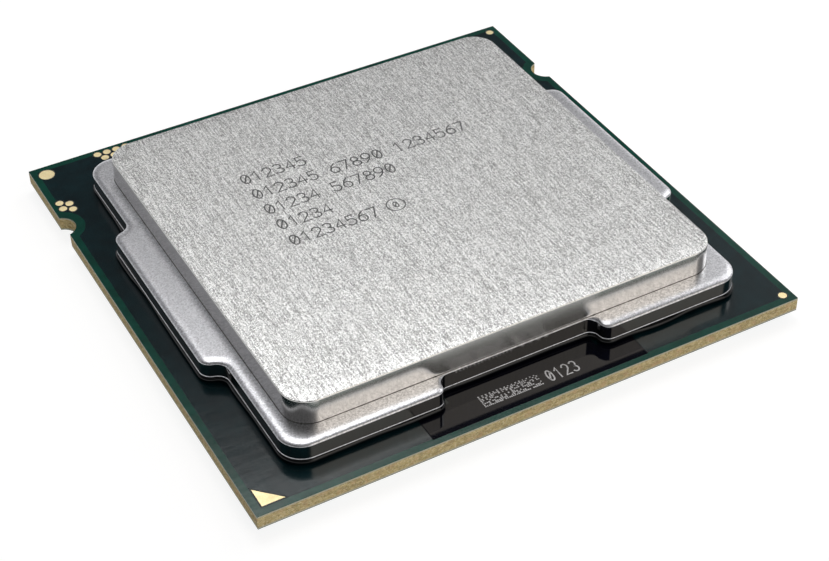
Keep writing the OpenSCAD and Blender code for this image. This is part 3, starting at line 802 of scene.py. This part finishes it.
def ribbon(bm, path, half_w, z_low, z_high):
    """A flat closed strip along a path of (x, y) points, with square ends."""
    closed = math.dist(path[0], path[-1]) < half_w * 0.1
    points = path[:-1] if closed else path
    count = len(points)
    rows = []
    for i, p in enumerate(points):
        before = points[i - 1] if closed or i else None
        after = points[(i + 1) % count] if closed or i < count - 1 else None
        into = (Vector(p) - Vector(before)).normalized() if before is not None else None
        away = (Vector(after) - Vector(p)).normalized() if after is not None else None
        into, away = into or away, away or into
        along = (into + away).normalized()
        side = Vector((-along.y, along.x))
        stretch = min(1.8, 1 / max(0.3, side.dot(Vector((-into.y, into.x)))))
        reach = side * half_w * stretch
        end = along * half_w * 0.7 * ((after is None) - (before is None))
        a, b = Vector(p) + reach + end, Vector(p) - reach + end
        rows.append([bm.verts.new((q.x, q.y, z)) for q, z in ((a, z_low), (a, z_high), (b, z_high), (b, z_low))])
    pairs = list(zip(rows, rows[1:])) + ([(rows[-1], rows[0])] if closed else [])
    for a, b in pairs:
        join_rings(bm, a, b)
    if not closed:
        bm.faces.new(rows[0])
        bm.faces.new(list(reversed(rows[-1])))


def write_digits(bm, text, x, y, height, pitch, half_w, z_low, z_high, slim=1.0):
    """Digits along +X from x, standing on y. A space leaves a gap."""
    for place, letter in enumerate(text):
        for path in DIGITS.get(letter, []):
            moved = [(x + place * pitch + u * height * slim, y + v * height) for u, v in path]
            ribbon(bm, moved, half_w, z_low, z_high)


# Rows of plain counting digits: text, height of the row's foot above the lid's centre
LID_ROWS = [
    ("012345", 6.2 * MM),
    ("012345 67890 1234567", 4.35 * MM),
    ("01234 567890", 2.5 * MM),
    ("01234", 0.65 * MM),
    ("01234567", -1.2 * MM),
]


def lid_marking():
    """Thin dark laser strokes on the plateau."""
    bm = bmesh.new()
    z = LID_HI.z
    left = LID_CENTRE.x - 8.2 * MM
    for text, up in LID_ROWS:
        write_digits(bm, text, left, LID_CENTRE.y + up, 1.0 * MM, 0.8 * MM, 0.05 * MM, z - 0.003 * MM, z + 0.003 * MM)
    centre = (left + 7.55 * MM, LID_CENTRE.y - 0.7 * MM)
    ring_path = ellipse(*centre, 0.62 * MM, 0.62 * MM, 0, 360, 28)
    ribbon(bm, ring_path, 0.04 * MM, z - 0.003 * MM, z + 0.003 * MM)
    write_digits(bm, "0", centre[0] - 0.17 * MM, centre[1] - 0.28 * MM, 0.56 * MM, 0, 0.036 * MM,
                 z - 0.003 * MM, z + 0.003 * MM)
    return new_piece("lid_marking", bm, ["lid_mark"])


MATRIX_COLUMNS = 32
MATRIX_ROWS = 8
MATRIX_CELL = 0.128 * MM


def ink_marking():
    """A dot pattern of no meaning and four counting digits on the ink patch."""
    dice = random.Random(7)
    bm = bmesh.new()
    low, high = MASK_TOP + INK_THICK - 0.002 * MM, MASK_TOP + INK_THICK + 0.004 * MM
    left, foot = LID_CENTRE.x - 3.5 * MM, INK_LO.y + 0.82 * MM
    for row in range(MATRIX_ROWS):
        for column in range(MATRIX_COLUMNS):
            framed = row == 0 or column in (0, MATRIX_COLUMNS // 2)
            spaced = row == MATRIX_ROWS - 1 or column == MATRIX_COLUMNS - 1
            chance = 0.97 if framed else 0.95 * ((row + column) % 2) if spaced else 0.42
            drawn = dice.random() < chance
            size = MATRIX_CELL * dice.uniform(0.62, 0.86)
            if not drawn:
                continue
            x, y = left + column * MATRIX_CELL, foot + row * MATRIX_CELL
            corners = [(x, y), (x + size, y), (x + size, y + size), (x, y + size)]
            under = ring(bm, [(u, v, low) for u, v in corners])
            over = ring(bm, [(u, v, high) for u, v in corners])
            join_rings(bm, under, over)
            bm.faces.new(over)
            bm.faces.new(list(reversed(under)))
    write_digits(bm, "0123", LID_CENTRE.x + 1.05 * MM, foot, 0.9 * MM, 0.57 * MM, 0.048 * MM, low, high, 0.72)
    return new_piece("ink_marking", bm, ["ink_mark"])


ink_pad()
lid_marking()
ink_marking()


# ---------------------------------------------------------------- mask openings

RIM_WIDTH = 0.075 * MM
RIM_HEIGHT = 0.006 * MM


def grown_outline(outline, by):
    """A counterclockwise convex outline moved outward by a distance, with mitred corners."""
    made = []
    for i, p in enumerate(outline):
        before, after = outline[i - 1], outline[(i + 1) % len(outline)]
        into = Vector((p[1] - before[1], before[0] - p[0])).normalized()
        away = Vector((after[1] - p[1], p[0] - after[0])).normalized()
        middle = (into + away).normalized()
        reach = by / max(0.35, middle.dot(into))
        made.append((p[0] + middle.x * reach, p[1] + middle.y * reach))
    return made


def mask_opening_rims():
    """The rolled edge of the solder mask round each gold part of the top side."""
    bm = bmesh.new()
    profile = ((-0.01 * MM, -0.003 * MM), (RIM_WIDTH * 0.2, RIM_HEIGHT), (RIM_WIDTH * 0.7, RIM_HEIGHT), (RIM_WIDTH, -0.003 * MM))
    for node_name in ("pin_one_marker", "fiducials", "test_pads_left", "test_pads_back"):
        for group in islands(node_name):
            plan = {(round(v.x, 7), round(v.y, 7)) for v in group}
            cx, cy = (sum(values) / len(plan) for values in zip(*plan))
            outline = sorted(plan, key=lambda q: math.atan2(q[1] - cy, q[0] - cx))
            loops = [ring(bm, [(x, y, MASK_TOP + up) for x, y in grown_outline(outline, by)]) for by, up in profile]
            for low, high in zip(loops, loops[1:] + loops[:1]):
                join_rings(bm, low, high)
    return new_piece("mask_opening_rims", bm, ["mask_rim"])


mask_opening_rims()


# ---------------------------------------------------------------- capacitors

CAP_PAD_T = 0.02 * MM
JOINT_T = 0.02 * MM
TERMINAL_WRAP = 0.26 * MM
FILLET_REACH = 0.18 * MM
FILLET_H = 0.2 * MM


def rounded_box(bm, lo, hi, edge, segments=2):
    """A box from one corner to the other with rounded edges."""
    made = bmesh.ops.create_cube(bm, size=1)
    verts = made["verts"]
    lo, hi = Vector(lo), Vector(hi)
    size, middle = hi - lo, (hi + lo) / 2
    for v in verts:
        v.co = Vector((v.co.x * size.x, v.co.y * size.y, v.co.z * size.z)) + middle
    edges = list({e for v in verts for e in v.link_edges})
    bmesh.ops.bevel(bm, geom=edges, offset=edge, segments=segments, profile=0.6, affect="EDGES")


def solder_ramp(bm, y, along, half_w, foot_z):
    """A concave fillet from the pad up a capacitor's end, with sloped cheeks."""
    steps = 6
    cheek = 0.05 * MM
    rows = []
    for i in range(steps + 1):
        t = i / steps
        up = FILLET_H * (1 - t) ** 2 + 0.004 * MM
        out = FILLET_REACH * t
        spread = cheek * (1 - (1 - t) ** 2)
        rows.append([
            bm.verts.new((side * (half_w + (spread if h == 0 else 0)), y + along * out, foot_z - h * up))
            for side, h in ((-1, 0), (-1, 1), (1, 1), (1, 0))
        ])
    for a, b in zip(rows, rows[1:]):
        join_rings(bm, a, b)
    bm.faces.new(rows[0])
    bm.faces.new(list(reversed(rows[-1])))


def capacitor_places(size_name):
    """Middles in plan of one size of capacitor, from its CAD ceramic blocks."""
    groups = islands(f"{size_name}_capacitor_bodies")
    middles = [sum(g, Vector()) / len(g) for g in groups]
    return sorted(((round(m.x, 7), round(m.y, 7)) for m in middles))


def capacitors(size_name, length, width, height):
    """Ceramic blocks, their metal ends and their solder, one piece each for a size."""
    places = capacitor_places(size_name)
    dice = random.Random(len(places))
    blocks, ends, joints = bmesh.new(), bmesh.new(), bmesh.new()
    top = MASK_UNDER - CAP_PAD_T - JOINT_T
    low = top - height
    skin = 0.02 * MM
    for x, y in places:
        turn = Matrix.Rotation(math.radians(dice.uniform(-1.4, 1.4)), 4, "Z")
        shift = Vector((x, y, 0))
        parts = {blocks: bmesh.new(), ends: bmesh.new(), joints: bmesh.new()}
        rounded_box(
            parts[blocks], (-width / 2 + skin, -length / 2 + skin, low + skin),
            (width / 2 - skin, length / 2 - skin, top - skin), 0.03 * MM)
        for side in (-1, 1):
            tip, heel = side * length / 2, side * (length / 2 - TERMINAL_WRAP)
            rounded_box(
                parts[ends], (-width / 2, min(tip, heel), low), (width / 2, max(tip, heel), top), 0.045 * MM, 3)
            solder_ramp(parts[joints], tip - side * 0.02 * MM, side, width / 2, MASK_UNDER - CAP_PAD_T)
            rounded_box(
                parts[joints], (-width / 2, min(tip, heel), top - 0.004 * MM),
                (width / 2, max(tip, heel), MASK_UNDER - CAP_PAD_T), 0.008 * MM, 1)
        for whole, part in parts.items():
            part.transform(Matrix.Translation(shift) @ turn)
            scratch = bpy.data.meshes.new("scratch")
            part.to_mesh(scratch)
            part.free()
            whole.from_mesh(scratch)
            bpy.data.meshes.remove(scratch)
    for kind, bm, key, slot, node in (
        ("ceramics", blocks, "ceramic", "ceramic", "bodies"),
        ("metal_ends", ends, "tin", "tin_plating", "ends"),
        ("solder", joints, "solder", "solder", "solder"),
    ):
        piece = new_piece(f"{size_name}_capacitor_{kind}_detail", bm, [key], [f"{size_name}_capacitor_{node}"])
        smooth_by_area(piece)


capacitors("large", 1.6 * MM, 0.8 * MM, 0.5 * MM)
capacitors("small", 1.0 * MM, 0.5 * MM, 0.35 * MM)


# ---------------------------------------------------------------- floor and light

def floor():
    """A pale floor that keeps a soft shadow. From below it is clear, so the underside shows."""
    data = bpy.data.meshes.new("floor")
    reach = 3.0
    data.from_pydata([(-reach, -reach, 0), (reach, -reach, 0), (reach, reach, 0), (-reach, reach, 0)], [], [(0, 1, 2, 3)])
    plane = bpy.data.objects.new("floor", data)
    plane.location.z = cad_box[0].z - 0.02 * MM
    bpy.context.scene.collection.objects.link(plane)
    material = bpy.data.materials.new("floor_pale")
    material.use_nodes = True
    tree = material.node_tree
    tree.nodes.clear()
    make, link = tree.nodes.new, tree.links.new
    diffuse, glow, clear = (make(f"ShaderNode{k}") for k in ("BsdfDiffuse", "Emission", "BsdfTransparent"))
    diffuse.inputs["Color"].default_value = (0.94, 0.94, 0.94, 1)
    glow.inputs["Strength"].default_value = 1.2
    path, geometry, out = make("ShaderNodeLightPath"), make("ShaderNodeNewGeometry"), make("ShaderNodeOutputMaterial")
    seen = either(tree, either(tree, path.outputs["Is Camera Ray"], path.outputs["Is Glossy Ray"]),
                  path.outputs["Is Transmission Ray"])
    share = make("ShaderNodeMath")
    share.operation = "MULTIPLY"
    link(seen, share.inputs[0])
    share.inputs[1].default_value = 0.72
    pale, whole = make("ShaderNodeMixShader"), make("ShaderNodeMixShader")
    link(share.outputs[0], pale.inputs[0])
    link(diffuse.outputs[0], pale.inputs[1])
    link(glow.outputs[0], pale.inputs[2])
    link(either(tree, geometry.outputs["Backfacing"], path.outputs["Is Shadow Ray"]), whole.inputs[0])
    link(pale.outputs[0], whole.inputs[1])
    link(clear.outputs[0], whole.inputs[2])
    link(whole.outputs[0], out.inputs["Surface"])
    data.materials.append(material)


def either(tree, a, b):
    """1 where either of two 0 or 1 outputs is 1."""
    made = tree.nodes.new("ShaderNodeMath")
    made.operation = "MAXIMUM"
    tree.links.new(a, made.inputs[0])
    tree.links.new(b, made.inputs[1])
    return made.outputs[0]


def studio_world():
    """A pale backdrop round the horizon under a dim ceiling; the same pale tone below."""
    world = bpy.data.worlds.new("studio")
    bpy.context.scene.world = world
    world.use_nodes = True
    tree = world.node_tree
    tree.nodes.clear()
    make, link = tree.nodes.new, tree.links.new
    coordinates, split, ramp = make("ShaderNodeTexCoord"), make("ShaderNodeSeparateXYZ"), make("ShaderNodeValToRGB")
    link(coordinates.outputs["Generated"], split.inputs[0])
    lift = make("ShaderNodeMapRange")
    lift.inputs["From Min"].default_value = -1
    link(split.outputs["Z"], lift.inputs["Value"])
    link(lift.outputs[0], ramp.inputs[0])
    stops = [(0.0, 0.95), (0.5, 0.95), (0.63, 0.8), (0.72, 0.3), (0.78, 0.07), (0.88, 0.05), (1.0, 0.2)]
    elements = ramp.color_ramp.elements
    while len(elements) < len(stops):
        elements.new(0.5)
    for element, (where, tone) in zip(elements, stops):
        element.position = where
        element.color = (tone, tone, tone * 1.02, 1)
    path = make("ShaderNodeLightPath")
    seen = either(tree, either(tree, path.outputs["Is Camera Ray"], path.outputs["Is Glossy Ray"]),
                  path.outputs["Is Transmission Ray"])
    above = make("ShaderNodeMath")
    above.operation = "GREATER_THAN"
    link(split.outputs["Z"], above.inputs[0])
    above.inputs[1].default_value = 0.0
    background, out = make("ShaderNodeBackground"), make("ShaderNodeOutputWorld")
    link(ramp.outputs[0], background.inputs["Color"])
    soft = make("ShaderNodeMath")
    soft.operation = "MULTIPLY"
    link(above.outputs[0], soft.inputs[0])
    soft.inputs[1].default_value = 0.5
    link(either(tree, seen, soft.outputs[0]), background.inputs["Strength"])
    link(background.outputs[0], out.inputs["Surface"])


def softbox(name, azimuth, elevation, distance, size, radiance, tint=(1, 1, 1)):
    """A square lamp aimed at the object. Azimuth 0 is in front, 90 to the right."""
    a, e = math.radians(azimuth), math.radians(elevation)
    away = Vector((math.sin(a) * math.cos(e), -math.cos(a) * math.cos(e), math.sin(e)))
    data = bpy.data.lights.new(name, "AREA")
    data.shape = "SQUARE"
    data.size = size
    data.energy = radiance * math.pi * size * size
    data.color = tint
    lamp = bpy.data.objects.new(name, data)
    lamp.matrix_world = Matrix.Translation(away * distance) @ (-away).to_track_quat("-Z", "Y").to_matrix().to_4x4()
    bpy.context.scene.collection.objects.link(lamp)


floor()
studio_world()
softbox("overhead", 160, 62, 0.6, 0.3, 3.65)
softbox("front_right", 27, 41, 0.6, 0.36, 1.65, (1.0, 0.92, 0.83))
softbox("right_side", 108, 38, 0.6, 0.31, 2.3)
softbox("right_card", 131, 35, 0.6, 0.15, 0.38)
softbox("back_left", -150, 42, 0.6, 0.3, 0.25, (0.93, 0.94, 1.0))
softbox("below", 20, -55, 0.6, 0.45, 2.2)

bpy.context.scene.view_settings.view_transform = "Standard"
